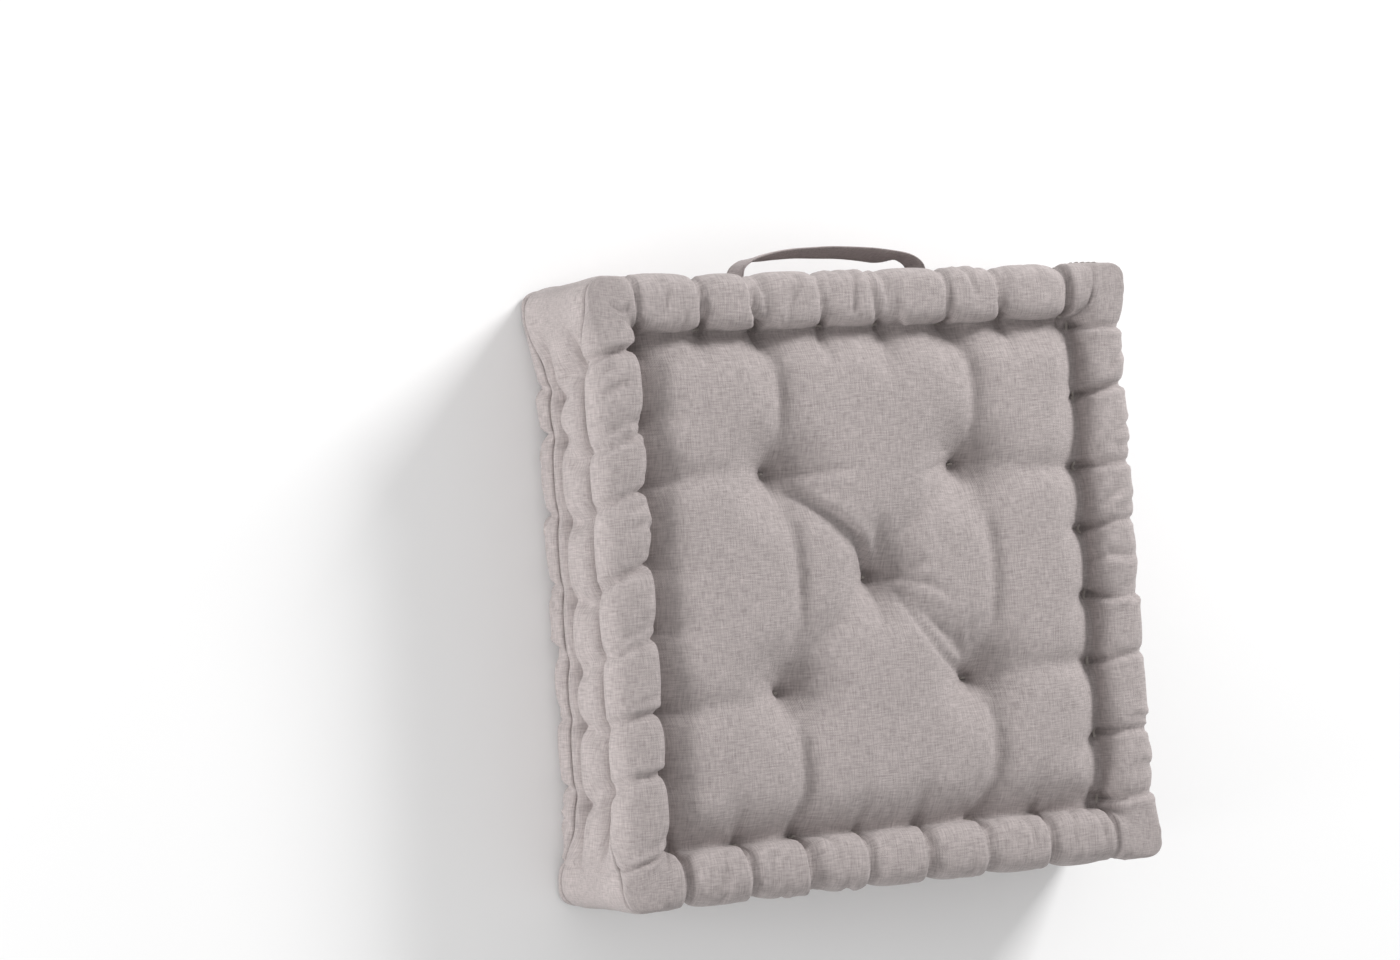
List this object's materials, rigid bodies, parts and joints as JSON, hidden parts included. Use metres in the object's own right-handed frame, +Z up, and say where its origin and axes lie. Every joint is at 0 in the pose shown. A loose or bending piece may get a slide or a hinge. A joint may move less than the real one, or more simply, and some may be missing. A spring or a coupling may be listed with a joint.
{
  "type": "floor cushion",
  "caption": "Square boxed floor cushion with deep tufts, hand-stitched edge rolls top and bottom, and a fabric carrying strap on one side.",
  "frame": {"origin": "on the floor under the middle of the whole object, strap included; the cushion's own middle is 12 mm towards -Y", "axes": "+Z up through the thickness as the cushion lies flat, +Y towards the side that carries the strap, +X to the right seen from the front"},
  "size_m": [0.45, 0.474, 0.12],
  "materials": {
    "cover_fabric": "plain-weave cotton with linen-like slubs, matt",
    "strap_fabric": "the same cotton, folded and topstitched, matt",
    "twine": "waxed tufting twine",
    "sewing_thread": "matching sewing thread",
    "stuffing": "loose cotton fibre"
  },
  "bodies": {
    "cushion": {"top_panel": "cover_fabric", "bottom_panel": "cover_fabric", "side_band": "cover_fabric", "filling": "stuffing", "tuft_tie_centre": "twine", "tuft_tie_front_left": "twine", "tuft_tie_front_right": "twine", "tuft_tie_back_left": "twine", "tuft_tie_back_right": "twine", "roll_thread_top_front": "twine", "roll_thread_top_back": "twine", "roll_thread_top_left": "twine", "roll_thread_top_right": "twine", "roll_thread_bottom_front": "twine", "roll_thread_bottom_back": "twine", "roll_thread_bottom_left": "twine", "roll_thread_bottom_right": "twine", "top_seam_thread": "sewing_thread", "bottom_seam_thread": "sewing_thread", "band_join_thread": "sewing_thread", "closing_stitch_thread": "sewing_thread", "handle_end_left": "strap_fabric", "handle_end_right": "strap_fabric", "box_stitch_left": "sewing_thread", "box_stitch_right": "sewing_thread"},
    "handle": {"handle_loop": "strap_fabric", "handle_topstitch_upper": "sewing_thread", "handle_topstitch_lower": "sewing_thread"}
  },
  "joints": [
    {"name": "handle_tilt", "type": "hinge", "parent": "cushion", "child": "handle", "pos_m": [0, 0.226, 0.06], "axis": [1, 0, 0], "range_deg": [-35, 35]}
  ]
}
